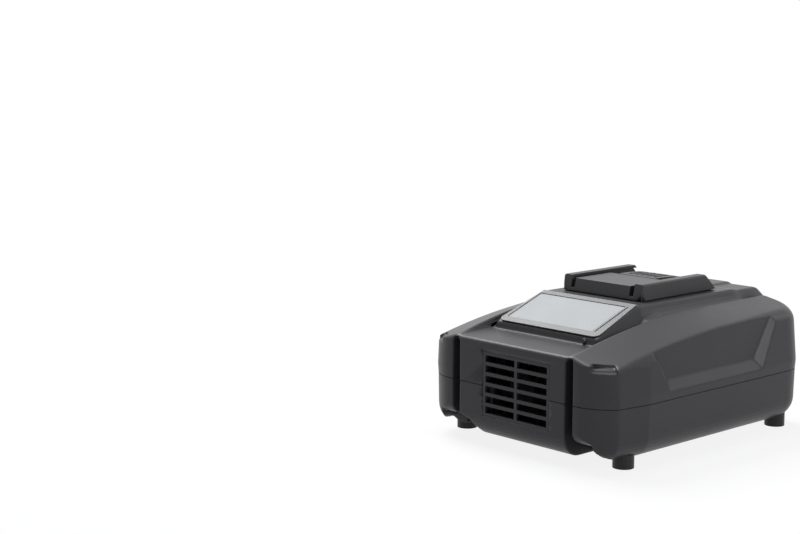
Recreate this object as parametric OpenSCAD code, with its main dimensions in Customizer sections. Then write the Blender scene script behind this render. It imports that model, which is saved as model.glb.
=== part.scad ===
// Charger for slide-on power tool battery packs, with a fan behind its front grille.
// X runs across the front, Y from the front to the back, and Z up.
// The origin is on the table, below the middle of the housing.

/* [Housing] */
// Width of the housing at its parting line
housing_w = 146; // [142:1:156]
// Length of the housing from the front face to the back face
housing_l = 184.5; // [182:0.5:196]
// Height of the underside above the table
base_z = 5; // [4:0.5:6]
// Height of the line where the two halves meet
parting_z = 36; // [34:0.5:38]
// Height of the hood along the front edge
hood_z = 62.3; // [61:0.1:64]
// Height of the shoulders beside the deck
crest_z = 77; // [75:0.5:78]
// Height of the deck that carries the battery dock
deck_z = 82; // [80:0.5:86]
// Wall thickness of both halves
wall = 2.5; // [2:0.1:3]
// Radius of the front corners in plan
front_corner_r = 23.5; // [20:0.5:26]
// Radius of the rear corners in plan
rear_corner_r = 20.5; // [18:0.5:24]
// Radius of the edge round the underside
bottom_r = 13; // [10:0.5:14]

/* [Front channels and grille] */
// Width of the front panel between the two channels
nose_w = 82; // [80:1:84]
// Width of each channel
channel_w = 5.5; // [4:0.5:6]
// Depth of each channel
channel_depth = 21; // [18:0.5:22]
// Depth of the recess under each inner post
underpass_depth = 14; // [10:0.5:15]
// Sideways offset of the grille and the fan
grille_x = 4; // [3:0.5:6]
// Width of the field of slots
slot_field_w = 47.4; // [44:0.2:48]
// Height of the field of slots
slot_field_h = 33.8; // [31:0.1:34]
// Number of rows of slots
slot_rows = 6; // [4:1:6]
// Height of one slot
slot_h = 3.9; // [2.4:0.1:4.1]

/* [Label ramp] */
// Height of the ramp's front edge
ramp_front_z = 67.9; // [67:0.1:69]
// Distance from the origin to the ramp's front edge
ramp_front = 63.6; // [62:0.2:65]
// Distance from the origin to the top of the ramp
ramp_back = 25.4; // [24:0.2:27]
// Width of the deck
deck_w = 73.4; // [71:0.2:75]
// How much wider than the deck the ramp is at its front edge
ramp_spread = 4; // [2:0.2:5]

/* [Battery dock] */
// Width of the dock at its foot
dock_w = 62.4; // [61:0.2:64]
// Height of the rails above the deck
rail_h = 10; // [9:0.5:11]
// Distance between the inner edges of the two rail flanges
rail_gap = 48; // [47:0.2:49]
// How far the groove runs in under each flange
groove_depth = 3.3; // [2.5:0.1:3.6]
// Thickness of the rail flanges
flange_h = 1.8; // [1.5:0.1:2.2]
// Width of the stop block between the rails
stop_w = 42; // [40:0.2:43]
// Width of the contact block
contact_block_w = 28; // [26:0.5:30]
// Number of contact blades
blade_count = 5; // [3:1:5]

/* [Feet and screws] */
// Distance between the left and right feet
foot_gap_x = 122; // [118:1:124]
// Distance between the front and rear feet
foot_gap_y = 142; // [138:1:144]
// Radius of the feet
foot_r = 6; // [5:0.1:6.5]
// Radius of the case screws
case_screw_r = 1.5; // [1.25:0.05:1.75]
// Distance from the origin to each case screw, left and right
case_screw_x = 60; // [59:0.5:61]
// Distance from the origin to each case screw, front and back
case_screw_y = 50; // [46:1:52]

/* [Cord inlet] */
// Radius of the bore of the cord bush
gland_bore_r = 3.1; // [2.5:0.1:3.5]
// Sideways position of the cord bush
gland_x = -38; // [-42:1:-34]

/* [Fan] */
// Width and height of the fan frame
fan_size = 40; // [38:1:40]
// Depth of the fan frame
fan_depth = 15; // [12:1:16]
// Radius of the fan shaft
fan_shaft_r = 1; // [0.8:0.05:1.5]
// Number of fan blades
fan_blades = 7; // [5:1:9]

/* [Fits] */
// Gap along the parting line
seam_gap = 0.4; // [0.2:0.05:0.6]
// Gap round pieces that are set into another one
seat_gap = 0.15; // [0.1:0.01:0.25]
// Gap round screws in their holes
screw_gap = 0.05; // [0.03:0.01:0.1]
// Running gap of the fan shaft in its bearing
bearing_gap = 0.03; // [0.02:0.01:0.06]

/* [Hidden] */
$fn = 16;
over = 1; // how far cutting solids reach past the surface they cut

// Housing outline
half_w = housing_w / 2;
front_reach = housing_l / 2;
back_reach = housing_l / 2;
corner_end = 60; // angle at which the front corner's arc meets the side
side_start_y = -front_reach + 33.5;
flare = 0.6; // how far the upper half's sides step out above the parting line
flare_h = 5.5;
upper_draft = 2;
lower_draft = 0.8;
upper_back_draft = 2.8;
lower_back_draft = 0.8;
arc_steps = 5;
corner_ease = 0.25; // how much rounder the front corners get round the underside

// Hood and shoulders
flat_x = nose_w / 2 - 0.5; // the flat hood ends here, and the shoulders start
crest_x = nose_w / 2 + 3.5;
hood_slope = 0.05;
crest_rise = crest_z - hood_z;
crest_run = 110;
crest_curve = 1.9;
shoulder_slope = 0.3;
shoulder_slope_drop = 0.1;
hood_edge_r = 2.4;
side_edge_r = 5;
back_edge_r = 7.5;
rim_x = half_w - 0.7;
rim_y = back_reach - 1.7;

// Deck and ramp
ramp_front_w = deck_w + ramp_spread;
ramp_run = ramp_front - ramp_back;
ramp_rise = deck_z - ramp_front_z;
ramp_angle = atan2(ramp_rise, ramp_run);
ramp_len = norm([ramp_run, ramp_rise]);
deck_flare = 6.5;
deck_rear_r = 5;
deck_rear = back_reach - 2;
ramp_corner_r = 4.5;

// Channels
nose_half = nose_w / 2;
post_x = nose_half + channel_w + 12; // where the front corner posts start
channel_top = hood_z - 1.8;
channel_floor_y = -front_reach + channel_depth;
underpass_y = -front_reach + underpass_depth;
underpass_z = base_z + 11; // height of the recess under the inner posts

// Grille
grille_border = 1.8;
grille_w = slot_field_w + 2 * grille_border;
grille_h = slot_field_h + 2 * grille_border;
grille_z = parting_z + 1.2;
grille_bar_t = 1.8;
grille_flange = 2.5;
grille_back_y = -front_reach + wall + 1.6;
slot_pitch = (slot_field_h - slot_h) / (slot_rows - 1);
slot_mullion = 2;
slot_w = (slot_field_w - slot_mullion) / 2;

// Side panels: corners of the floor of the recess and of its rim, as Y and Z
panel_floor_x = half_w - 3.8;
panel_floor = [[-52.8, 46.8], [39.6, 47.2], [52.6, crest_z], [-52.8, crest_z]];
panel_rim = [[-40.8, 41.2], [43.7, 41.5], [56.7, crest_z], [-52.8, crest_z]];

// Ledge on top of the front corner posts
ledge_z = 56.5;
ledge_depth = 5;
ledge_start = 20; // angle round the corner at which the ledge starts
lip_z = 59;
lip_out = 1;

// Feet
foot_shift_y = 5.2; // the feet stand this far back of the middle
foot_seat_z = 8;
foot_stem_r = 2.4;
foot_boss_r = 8.5;
foot_floor = 2.5;

// Screws
case_head_z = 20;
case_head_r = 3.4;
case_head_h = 2.4;
case_screw_top = 50;
post_r = 5;

// Circuit board
board_half_w = 52;
board_front = -front_reach + 28.25;
board_back = back_reach - 28.25;
board_z = 13;
board_t = 1.6;
board_top = board_z + board_t;
board_screw_x = 47;
board_screw_y = board_back - 6;
board_screw_r = 1.25;

// Dock
dock_plinth = 0.4;
dock_z = deck_z + dock_plinth;
dock_floor = dock_z + 2;
rail_top = deck_z + rail_h;
stop_top = rail_top - 1.6;
dock_front = -16.3;
dock_back = dock_front + 70.2;
dock_draft = 1.1;
rail_back = dock_back - 9.3;
stop_back = dock_front + 33.5;
flange_x = rail_gap / 2;
groove_x = flange_x + groove_depth;
block_front = stop_back + 0.3;
block_back = stop_back + 26;
block_corner_r = 9;
block_top = stop_top + 0.3;
neck_half = contact_block_w / 2 - 2.3;
neck_front = block_front + 2;
neck_back = block_back - 4.3;
neck_bottom = deck_z - 10;
blade_pitch = 4.6;
blade_t = 0.8;
blade_front = stop_back + 6;
blade_len = 10;
dock_screw_front_x = 14;
dock_screw_front_y = dock_front + 13.5;
dock_screw_back_y = dock_back - 5.2;
dock_screw_r = 1.25;
dock_boss_r = 3;
contact_board_t = 1.2;
contact_board_z = neck_bottom - contact_board_t;

// Label, in the plane of the ramp, measured from the middle and from the ramp's front edge
frame_t = 0.9;
frame_inset = 0.6;
label_left = -deck_w / 2 + 1.9;
label_right = deck_w / 2 - 6.2;
label_low = 5.7;
label_high = ramp_len - 4.6;

// Cord bush and outlet slots
gland_neck_r = gland_bore_r + 2.2;
gland_flange_r = gland_neck_r + 2;
outlet_count = 9;
outlet_pitch = 5.5;
outlet_w = 2.6;
outlet_first_x = 2;

// Parts on the circuit board
choke_x = -22;
choke_y = 50;
transformer_x = 4;
transformer_y = -8;

// Fan
fan_front_y = grille_back_y + 0.5;
fan_back_y = fan_front_y + fan_depth;
fan_hub_r = 9.5;
fan_tip_r = fan_size / 2 - 1.8;
fan_bore_r = fan_size / 2 - 1;

// Light guide
light_x = 29.5;
light_z = (hood_z + ramp_front_z) / 2 + 0.9;
light_r = 1.3;
light_drop_y = -ramp_front + 10.6;

function smooth(t) = t <= 0 ? 0 : t >= 1 ? 1 : t * t * (3 - 2 * t);
function arc(cx, cy, r, a0, a1, n) =
    [for (i = [0 : n]) let (a = a0 + (a1 - a0) * i / n) [cx + r * cos(a), cy + r * sin(a)]];
function mirrored(half) = concat(half, [for (i = [len(half) - 1 : -1 : 0]) [-half[i].x, half[i].y]]);
function bulge(t) = 1 - sqrt(1 - pow(min(max(t, 0), 1), 2));

// ---- the roof surface of the hood and shoulders ----

function crest(y) = let (t = min(max((y + front_reach) / crest_run, 0), 1))
    hood_z + crest_rise * (1 - pow(1 - t, crest_curve));
function hood(y) = hood_z + hood_slope * (y + front_reach);
function slope(y) = shoulder_slope - shoulder_slope_drop * smooth((y + 25) / 100);
function shoulder(x, y) = crest(y) - slope(y) * max(0, x - crest_x);
function panel(x, y) = let (t = smooth((x - flat_x) / (crest_x - flat_x)))
    hood(y) * (1 - t) + shoulder(x, y) * t;
function to_corner(x, y) = norm([max(0, x - rim_x + rear_corner_r), max(0, y - rim_y + rear_corner_r)]);
function inset_of(x, y) = min(rim_x - x, rear_corner_r - to_corner(x, y));
function edge_r(y) = side_edge_r + (back_edge_r - side_edge_r) * smooth((y - 25) / 50);
function rim(x, y) = let (r = edge_r(y)) r * bulge(1 - inset_of(x, y) / r)
    + hood_edge_r * bulge(1 - (y + front_reach) / hood_edge_r);
function roof_z(x, y) = panel(x, y) - rim(x, y);

// ---- outlines of the housing ----

// Plan, drawn in from the sides, from the back and all round, with the front corners made rounder by ease.
module plan(side, back, all, ease = 0) {
    w = half_w - side;
    l = back_reach - back;
    fr = front_corner_r + ease;
    rr = rear_corner_r;
    polygon(mirrored(concat(
        arc(w - fr, -front_reach + fr, fr - all, -90, corner_end - 90, arc_steps),
        [[w - all, side_start_y]],
        arc(w - rr, l - rr, rr - all, 0, 90, arc_steps + 2))));
}

module slice(z, side, back, all, ease = 0) translate([0, 0, z])
    linear_extrude(0.01) plan(side, back, all, ease);

module across(z0, z1) translate([0, 0, z0]) linear_extrude(z1 - z0) children();
module along_y(y0, y1) translate([0, y1, 0]) rotate([90, 0, 0]) linear_extrude(y1 - y0) children();
module along_x(x0, x1) translate([x0, 0, 0]) rotate([90, 0, 90]) linear_extrude(x1 - x0) children();

// Lower half, drawn in by d, with its rounded lower edge.
module tray_block(d, top) {
    hull() {
        for (i = [0 : arc_steps]) {
            a = 90 * i / arc_steps;
            r = bottom_r - d;
            slice(base_z + d + r * (1 - cos(a)), lower_draft, lower_back_draft, d + r * (1 - sin(a)),
                corner_ease * r * (1 - sin(a)));
        }
        slice(top, 0, 0, d);
    }
}

// Upper half without its roof, drawn in by d.
module hood_block(d, bottom, top) {
    hull() {
        slice(bottom, 0, 0, d);
        slice(parting_z + flare_h, -flare, 0.2, d);
        slice(top, upper_draft, upper_back_draft, d);
    }
}

// The hood and shoulders: a solid whose top is the roof surface lowered by d.
module roof(d, steps, rows) {
    floor_z = base_z - 5;
    right = concat([0, flat_x - d, flat_x + (crest_x - flat_x) / 2 - d, crest_x - d],
        [for (i = [1 : steps]) crest_x + (rim_x - side_edge_r - crest_x) * i / steps - d],
        [for (i = [1 : steps]) rim_x - side_edge_r * (1 - sin(90 * i / steps)) - d],
        [half_w + 2 * over]);
    xs = concat([for (i = [len(right) - 1 : -1 : 1]) -right[i]], right);
    front_y = -front_reach + hood_edge_r;
    back_y = rim_y - back_edge_r;
    ys = concat([-front_reach - over],
        [for (i = [0 : steps]) -front_reach + hood_edge_r * (1 - cos(90 * i / steps)) + d],
        [for (i = [1 : rows]) front_y + (back_y - front_y) * i / rows + d * (1 - 2 * i / rows)],
        [for (i = [1 : steps]) back_y + back_edge_r * sin(90 * i / steps) - d],
        [back_reach + over]);
    nx = len(xs);
    ny = len(ys);
    top = [for (y = ys) for (x = xs)
        [x, y, roof_z(min(abs(x) + d, rim_x), min(max(y + (y < 0 ? -d : d), -front_reach), rim_y)) - d]];
    foot = [[xs[0], ys[0], floor_z], [xs[nx - 1], ys[0], floor_z],
            [xs[nx - 1], ys[ny - 1], floor_z], [xs[0], ys[ny - 1], floor_z]];
    n = nx * ny;
    polyhedron(concat(top, foot), concat(
        [for (i = [0 : ny - 2]) for (j = [0 : nx - 2]) let (k = i * nx + j) [k, k + nx, k + nx + 1]],
        [for (i = [0 : ny - 2]) for (j = [0 : nx - 2]) let (k = i * nx + j) [k, k + nx + 1, k + 1]],
        [concat([n + 1, n], [for (j = [0 : nx - 1]) j])],
        [concat([n + 3, n + 2], [for (j = [nx - 1 : -1 : 0]) (ny - 1) * nx + j])],
        [concat([n, n + 3], [for (i = [ny - 1 : -1 : 0]) i * nx])],
        [concat([n + 2, n + 1], [for (i = [0 : ny - 1]) i * nx + nx - 1])],
        [[n, n + 1, n + 2, n + 3]]));
}

// The raised deck with its flared sides, and the label ramp in front of it.
module deck_block(bottom) {
    intersection() {
        along_y(-ramp_back, deck_rear) polygon(mirrored([
            [deck_w / 2 + deck_flare, bottom],
            [deck_w / 2 + deck_flare, crest_z - 1.5],
            [deck_w / 2 + 3, deck_z - 4.4],
            [deck_w / 2 + 0.9, deck_z - 1.6],
            [deck_w / 2 + 0.3, deck_z - 0.5],
            [deck_w / 2 - 0.8, deck_z]]));
        along_x(-half_w, half_w) polygon(concat([[-ramp_back, bottom], [-ramp_back, deck_z]],
            arc(deck_rear - deck_rear_r, deck_z - deck_rear_r, deck_rear_r, 90, 0, 6), [[deck_rear, bottom]]));
    }
    hull() {
        for (s = [-1, 1]) {
            on_ramp() translate([s * (ramp_front_w / 2 - ramp_corner_r), ramp_corner_r, -0.04])
                cylinder(h = 0.01, r = ramp_corner_r);
            translate([s * (ramp_front_w / 2 - ramp_corner_r), -ramp_front + ramp_corner_r, hood_z])
                cylinder(h = 0.01, r = ramp_corner_r + 1.6);
            translate([s * ramp_front_w / 2, -ramp_front - 1.2, bottom]) nib();
            translate([s * (deck_w / 2 - 0.4), -ramp_back, deck_z]) nib();
            translate([s * (deck_w / 2 + deck_flare), -ramp_back, crest_z - 1.5]) nib();
            translate([s * (deck_w / 2 + deck_flare), -ramp_back, bottom]) nib();
        }
    }
}

// The hollow under the deck and the ramp.
module deck_hollow(bottom) intersection() {
    along_y(-ramp_front, deck_rear) polygon(mirrored([
        [deck_w / 2 + 3 - wall, bottom],
        [deck_w / 2 + 3 - wall, deck_z - 4.4],
        [deck_w / 2 - wall, deck_z - wall]]));
    along_x(-half_w, half_w) polygon(concat(
        [[wall + 1.5 - ramp_front, bottom], [wall + 1.5 - ramp_front, ramp_front_z + 0.5 - 1.1 * wall],
            [-ramp_back, deck_z - wall]],
        arc(deck_rear - deck_rear_r, deck_z - deck_rear_r, deck_rear_r - wall, 90, 0, 6),
        [[deck_rear - wall, bottom]]));
}

// ---- small helpers ----

module nib() cube(0.02, center = true);
module box(x0, x1, y0, y1, z0, z1) translate([x0, y0, z0]) cube([x1 - x0, y1 - y0, z1 - z0]);
module rod(x, y, z0, z1, r) translate([x, y, z0]) cylinder(h = z1 - z0, r = r);
module rod_y(x, z, y0, y1, r) translate([x, y0, z]) rotate([-90, 0, 0]) cylinder(h = y1 - y0, r = r);
module both() {
    children();
    mirror([1, 0, 0]) children();
}
module at_foot(x, y) translate([x * foot_gap_x / 2, y * foot_gap_y / 2 + foot_shift_y, 0]) children();
module at_feet() for (x = [-1, 1], y = [-1, 1]) at_foot(x, y) children();
module at_case_screws() for (x = [-1, 1], y = [-1, 1])
    translate([x * case_screw_x, y * case_screw_y, 0]) children();
module at_board_screws() for (x = [-1, 1], y = [-1, 1])
    translate([x * board_screw_x, y * board_screw_y, 0]) children();
module at_dock_screws() {
    both() translate([dock_screw_front_x, dock_screw_front_y, 0]) children();
    translate([0, dock_screw_back_y, 0]) children();
}
module on_ramp() translate([0, -ramp_front, ramp_front_z]) rotate([ramp_angle, 0, 0])
    translate([0, 0, 0.03]) children();

// ---- cuts and ribs that both halves share ----

// The two deep channels beside the front panel, and the recess beside each one's foot, next to a rounded post.
module channels(grow) {
    both() {
        box(nose_half - grow, nose_half + channel_w + grow, -front_reach - over, channel_floor_y + grow,
            -over, channel_top + grow);
        along_y(-front_reach - over, underpass_y + grow) polygon([
            [nose_half - grow, -over],
            [nose_half - grow, underpass_z + grow],
            [post_x + grow, underpass_z + grow],
            [post_x + grow, base_z + 5],
            [post_x + 0.8 + grow, base_z + 2.4],
            [post_x + 2.5 + grow, base_z + 0.6],
            [post_x + 5 + grow, base_z - 0.2],
            [post_x + 5 + grow, -over]]);
    }
}

// The opening that the grille sits in, and the wider seat for its flange behind the wall.
module grille_opening() translate([grille_x, 0, grille_z]) {
    grille_plate(grille_w + 2 * seat_gap, grille_h + 2 * seat_gap,
        -front_reach - over, -front_reach + wall + over);
    grille_plate(grille_w + 2 * (grille_flange + seat_gap), grille_h + 2 * (grille_flange + seat_gap),
        -front_reach + wall, grille_back_y + seat_gap);
}
module grille_plate(w, h, y0, y1) along_y(y0, y1) square([w, h], center = true);

// The cord bush is held by its groove in a round hole that both halves share.
module gland_hole() rod_y(gland_x, parting_z, back_reach - 2 * wall, back_reach + over,
    gland_neck_r + seat_gap);

// The wall that the gland sits in is flat and of even thickness there.
module gland_pad() rod_y(gland_x, parting_z, back_reach - wall - 1.5, back_reach - 0.6, gland_flange_r + 2.5);
module gland_relief() rod_y(gland_x, parting_z, back_reach - 0.8, back_reach + over, gland_flange_r + 0.5);

// ---- lower shell ----

module lower_shell() color([0.25, 0.25, 0.27]) difference() {
    union() {
        difference() {
            tray_block(0, parting_z - seam_gap / 2);
            tray_block(wall, parting_z + over);
        }
        intersection() {
            tray_block(0, parting_z - seam_gap / 2);
            union() {
                channels(wall);
                at_feet() rod(0, 0, base_z, foot_seat_z + foot_floor, foot_boss_r);
                at_case_screws() rod(0, 0, base_z, parting_z, post_r);
                at_board_screws() rod(0, 0, base_z, board_z, 3.5);
                gland_pad();
                fan_cradle();
                grille_stops();
            }
        }
        // Lip that locates the upper half
        difference() {
            lip_ring(1.45, 1.4);
            channels(wall + 1);
            grille_keepout(0.1);
            gland_keepout(0.1);
        }
    }
    channels(0);
    grille_opening();
    gland_hole();
    gland_relief();
    at_feet() {
        rod(0, 0, 0, foot_seat_z, foot_r + seat_gap);
        rod(0, 0, 0, foot_seat_z + foot_floor + over, foot_stem_r + seat_gap);
        rod(0, 0, foot_seat_z + foot_floor, foot_seat_z + foot_floor + 4, foot_stem_r + 1);
    }
    at_case_screws() {
        rod(0, 0, 0, case_head_z, case_head_r + 0.3);
        rod(0, 0, 0, parting_z + over, case_screw_r + 0.3);
    }
    at_board_screws() rod(0, 0, base_z + 2, board_z + over, board_screw_r + screw_gap);
    outlet_slots();
}

module lip_ring(inset, thickness) difference() {
    across(parting_z - 4, parting_z + 1.4) plan(0, 0, inset);
    across(parting_z - 5, parting_z + 2.4) plan(0, 0, inset + thickness);
}
// The lip and its groove leave these places free, a little more of them for the lip.
module grille_keepout(more) box(grille_x - grille_w / 2 - 3.9 - more, grille_x + grille_w / 2 + 3.9 + more,
    -front_reach - over, fan_back_y, parting_z - 5, parting_z + 5);
module gland_keepout(more) box(gland_x - gland_flange_r - 3.9 - more, gland_x + gland_flange_r + 3.9 + more,
    back_reach - 9, back_reach + over, parting_z - 5, parting_z + 5);

// Air leaves through a row of upright slots in the back wall.
module outlet_slots() for (i = [0 : outlet_count - 1]) translate([outlet_first_x + i * outlet_pitch, 0, 0])
    box(0, outlet_w, back_reach - 9, back_reach + over, parting_z - 18, parting_z - 4);

// Cradle that holds the fan from below and at both sides.
module fan_cradle() translate([grille_x, 0, 0]) {
    half = fan_size / 2 + seat_gap;
    low = grille_z - half;
    difference() {
        box(-half - 2, half + 2, fan_front_y - 1.5, fan_back_y + 2, base_z, parting_z - seam_gap / 2);
        box(-half, half, fan_front_y - seat_gap, fan_back_y + seat_gap, low, parting_z + over);
        box(-half + 2, half - 2, fan_front_y - 2, fan_back_y + 3, low + 2, parting_z + over);
        box(-half, half, fan_front_y - 2, fan_back_y + 3, base_z, low - 2);
    }
}

// Stops behind the grille's flange.
module grille_stops() translate([grille_x, 0, 0]) for (s = [-1, 1])
    box(s * grille_w / 2 - 2, s * grille_w / 2 + 2,
        grille_back_y + seat_gap, fan_front_y + 3, base_z, parting_z);

// ---- upper shell ----

module upper_outer() {
    intersection() {
        hood_block(0, parting_z + seam_gap / 2, deck_z);
        roof(0, 4, 10);
    }
    difference() {
        deck_block(ledge_z);
        box(-half_w, half_w, -front_reach, back_reach, 0, ledge_z + over);
    }
}

module upper_cavity() {
    intersection() {
        hood_block(wall, parting_z - over, deck_z);
        roof(wall, 2, 6);
    }
    deck_hollow(ledge_z + 2);
}

// Recess in each side, with sloping walls below and behind.
module side_recesses() both() hull() {
    for (i = [0 : 3]) {
        lean = panel_rim[i] - panel_floor[i];
        translate([panel_floor_x, panel_floor[i].x, panel_floor[i].y]) nib();
        translate([panel_floor_x + 8, panel_floor[i].x + 2 * lean.x, panel_floor[i].y + 2 * lean.y]) nib();
    }
}

// Wall behind each recess.
module recess_backing() both() along_x(panel_floor_x - 2, half_w) polygon([
    panel_rim[0] + [-wall - 12, -wall + 0.5], panel_rim[1] + [wall, -wall + 0.5],
    panel_rim[2] + [wall, 0], panel_rim[3] + [-wall, 0]]);

module ledges() both() translate([half_w - front_corner_r, -front_reach + front_corner_r, 0])
    rotate(ledge_start - 90) rotate_extrude(angle = corner_end - ledge_start + 0.4) {
        translate([front_corner_r - ledge_depth - lip_out, ledge_z]) square([ledge_depth + 3, lip_z - ledge_z]);
        translate([front_corner_r - ledge_depth, lip_z - 0.1]) square([ledge_depth + 3, 8]);
    }

module ledge_backing() both() translate([half_w - front_corner_r, -front_reach + front_corner_r, 0])
    rotate(ledge_start - 93) rotate_extrude(angle = corner_end - ledge_start + 6)
        translate([front_corner_r - ledge_depth - lip_out - wall, ledge_z - wall])
            square([ledge_depth + lip_out + wall, 12]);

module upper_shell() color([0.27, 0.27, 0.29]) difference() {
    union() {
        difference() {
            upper_outer();
            upper_cavity();
        }
        intersection() {
            upper_outer();
            union() {
                channels(wall);
                recess_backing();
                ledge_backing();
                at_case_screws() rod(0, 0, parting_z + seam_gap / 2, deck_z, post_r - 0.5);
                gland_pad();
                fan_holder();
                light_boss();
            }
        }
    }
    side_recesses();
    ledges();
    channels(0);
    grille_opening();
    gland_hole();
    gland_relief();
    lip_groove();
    at_case_screws() rod(0, 0, 0, case_screw_top + 1, case_screw_r + screw_gap);
    box(-neck_half - 0.3, neck_half + 0.3, neck_front - 0.3, neck_back + 0.3, deck_z - 2 * wall, deck_z + over);
    at_dock_screws() rod(0, 0, deck_z - 2 * wall, deck_z + over, dock_boss_r + seat_gap);
    rod_y(light_x, light_z, -ramp_front - 3, light_drop_y, light_r + seat_gap);
}

module lip_groove() difference() {
    across(parting_z - over, parting_z + 1.7) plan(0, 0, 1.3);
    across(parting_z - 2 * over, parting_z + 3) plan(0, 0, 3);
    channels(wall + 0.9);
    grille_keepout(0);
    gland_keepout(0);
}

// Ribs that hold the fan down from above.
module fan_holder() translate([grille_x, 0, 0]) {
    half = fan_size / 2 + seat_gap;
    for (s = [-1, 1])
        box(s * (half - 4) - 1, s * (half - 4) + 1, fan_front_y, fan_back_y, grille_z + half, hood_z);
}

module light_boss() rod_y(light_x, light_z, -ramp_front - 1.4, -ramp_front + wall + 1, light_r + 1.8);

// ---- front grille ----

module intake_grille() color([0.24, 0.24, 0.26]) translate([grille_x, 0, grille_z]) difference() {
    union() {
        grille_plate(grille_w, grille_h, -front_reach, grille_back_y);
        grille_plate(grille_w + 2 * grille_flange, grille_h + 2 * grille_flange,
            -front_reach + wall + 0.1, grille_back_y);
    }
    for (row = [0 : slot_rows - 1], s = [-1, 1])
        translate([s * (slot_w + slot_mullion) / 2, 0, -slot_field_h / 2 + slot_h / 2 + row * slot_pitch])
            grille_plate(slot_w, slot_h, -front_reach - over, grille_back_y);
    // The bars are thinner than the frame round them
    grille_plate(slot_field_w + 0.6, slot_field_h + 0.6, -front_reach + grille_bar_t, grille_back_y + over);
}

// ---- label ----

// Outline of the ramp's face, drawn in by inset, with round corners at its foot.
module ramp_outline(inset) polygon(mirrored(concat([[0, inset]],
    arc(ramp_front_w / 2 - ramp_corner_r, ramp_corner_r, ramp_corner_r - inset, -90, 0, 5),
    [[deck_w / 2 - 0.4 - inset, ramp_len - inset]])));
module label_outline(grow) translate([label_left - grow, label_low - grow])
    square([label_right - label_left + 2 * grow, label_high - label_low + 2 * grow]);

module label_frame() color([0.3, 0.3, 0.32]) on_ramp() difference() {
    linear_extrude(frame_t) ramp_outline(frame_inset);
    across(-over, frame_t + over) label_outline(seat_gap);
    // Fine groove that makes a double border on the right
    across(frame_t - 0.4, frame_t + over) translate([label_right + 1.6, label_low])
        square([0.8, label_high - label_low]);
}

module label_plate() color([0.72, 0.75, 0.78]) on_ramp() linear_extrude(0.5) label_outline(0);

// ---- light guide ----

module light_guide() color([0.75, 0.85, 0.8]) {
    rod_y(light_x, light_z, -ramp_front - 1.7, light_drop_y + light_r, light_r);
    box(light_x - light_r, light_x + light_r, light_drop_y - light_r, light_drop_y + light_r,
        board_top + 2, light_z + light_r);
}

// ---- battery dock ----

module battery_dock() color([0.2, 0.2, 0.22]) difference() {
    union() {
        intersection() {
            along_y(dock_front, dock_back) polygon(mirrored([
                [dock_w / 2, dock_z],
                [dock_w / 2 - dock_draft + 0.15, rail_top - 0.7],
                [dock_w / 2 - dock_draft - 0.7, rail_top]]));
            along_x(-dock_w, dock_w) polygon([
                [dock_front, dock_z],
                [dock_back, dock_z],
                [rail_back, rail_top],
                [dock_front + 2.5, rail_top]]);
            across(dock_z - over, rail_top + over) polygon(mirrored([
                [dock_w / 2, dock_back],
                [dock_w / 2, dock_front + 4.5],
                [dock_w / 2 - 1.3, dock_front + 1.2],
                [dock_w / 2 - 5, dock_front]]));
        }
        // Plinth that leaves a shadow gap above the deck
        box(-dock_w / 2 + 2, dock_w / 2 - 2, dock_front + 2, dock_back - 2, deck_z, dock_z + 0.5);
        at_dock_screws() rod(0, 0, deck_z - wall + 0.2, dock_z + 1, dock_boss_r);
    }
    // Grooves beside the stop block and under the flanges
    both() {
        box(stop_w / 2, flange_x, dock_front - over, dock_back + over, dock_floor, rail_top + over);
        box(flange_x - 0.1, groove_x, dock_front + 4, dock_back + over, dock_floor, rail_top - flange_h);
    }
    box(-stop_w / 2 - over, stop_w / 2 + over, dock_front - over, stop_back, stop_top, rail_top + over);
    box(-flange_x, flange_x, stop_back, dock_back + over, dock_floor, rail_top + over);
    box(-neck_half - seat_gap, neck_half + seat_gap, neck_front - seat_gap, neck_back + seat_gap,
        deck_z - over, dock_floor + over);
    at_dock_screws() rod(0, 0, deck_z - wall, dock_floor - 0.4, dock_screw_r + screw_gap);
}

module dock_screws() color([0.75, 0.75, 0.77]) at_dock_screws() {
    rod(0, 0, deck_z - wall - 1.8, deck_z - wall, dock_boss_r + 1.6);
    rod(0, 0, deck_z - wall - 0.1, dock_floor - 0.6, dock_screw_r);
}

module contact_block() color([0.16, 0.16, 0.17]) difference() {
    union() {
        intersection() {
            across(dock_floor, block_top) polygon(mirrored(concat([[contact_block_w / 2, block_front]],
                arc(contact_block_w / 2 - block_corner_r, block_back - block_corner_r, block_corner_r,
                    0, 90, 6))));
            along_x(-dock_w, dock_w) polygon([[block_front, neck_bottom], [block_back, neck_bottom],
                [block_back, block_top - 1.6], [block_back - 8, block_top - 0.4], [block_front + 6, block_top],
                [block_front, block_top]]);
        }
        box(-neck_half, neck_half, neck_front, neck_back, neck_bottom, dock_floor + 0.5);
    }
    for (i = [0 : blade_count - 1]) translate([blade_pitch * (i - (blade_count - 1) / 2), 0, 0]) {
        box(-1.2, 1.2, blade_front - 2, block_back + over, dock_floor + 1.8, block_top + over);
        box(-blade_t / 2 - 0.1, blade_t / 2 + 0.1, blade_front - 0.1, blade_front + blade_len + 0.1,
            neck_bottom - over, block_top);
    }
}

module contact_blades() color([0.85, 0.75, 0.5]) for (i = [0 : blade_count - 1])
    translate([blade_pitch * (i - (blade_count - 1) / 2), 0, 0]) {
        box(-blade_t / 2, blade_t / 2, blade_front, blade_front + blade_len,
            contact_board_z - 3, block_top - 0.8);
    }

module contact_board() color([0.1, 0.35, 0.2]) difference() {
    box(-neck_half - 2, neck_half + 2, neck_front - 2, neck_back + 2, contact_board_z, neck_bottom);
    for (i = [0 : blade_count - 1]) translate([blade_pitch * (i - (blade_count - 1) / 2), 0, 0])
        box(-blade_t / 2 - 0.1, blade_t / 2 + 0.1, blade_front - 0.1, blade_front + blade_len + 0.1,
            contact_board_z - over, neck_bottom + over);
}

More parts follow.
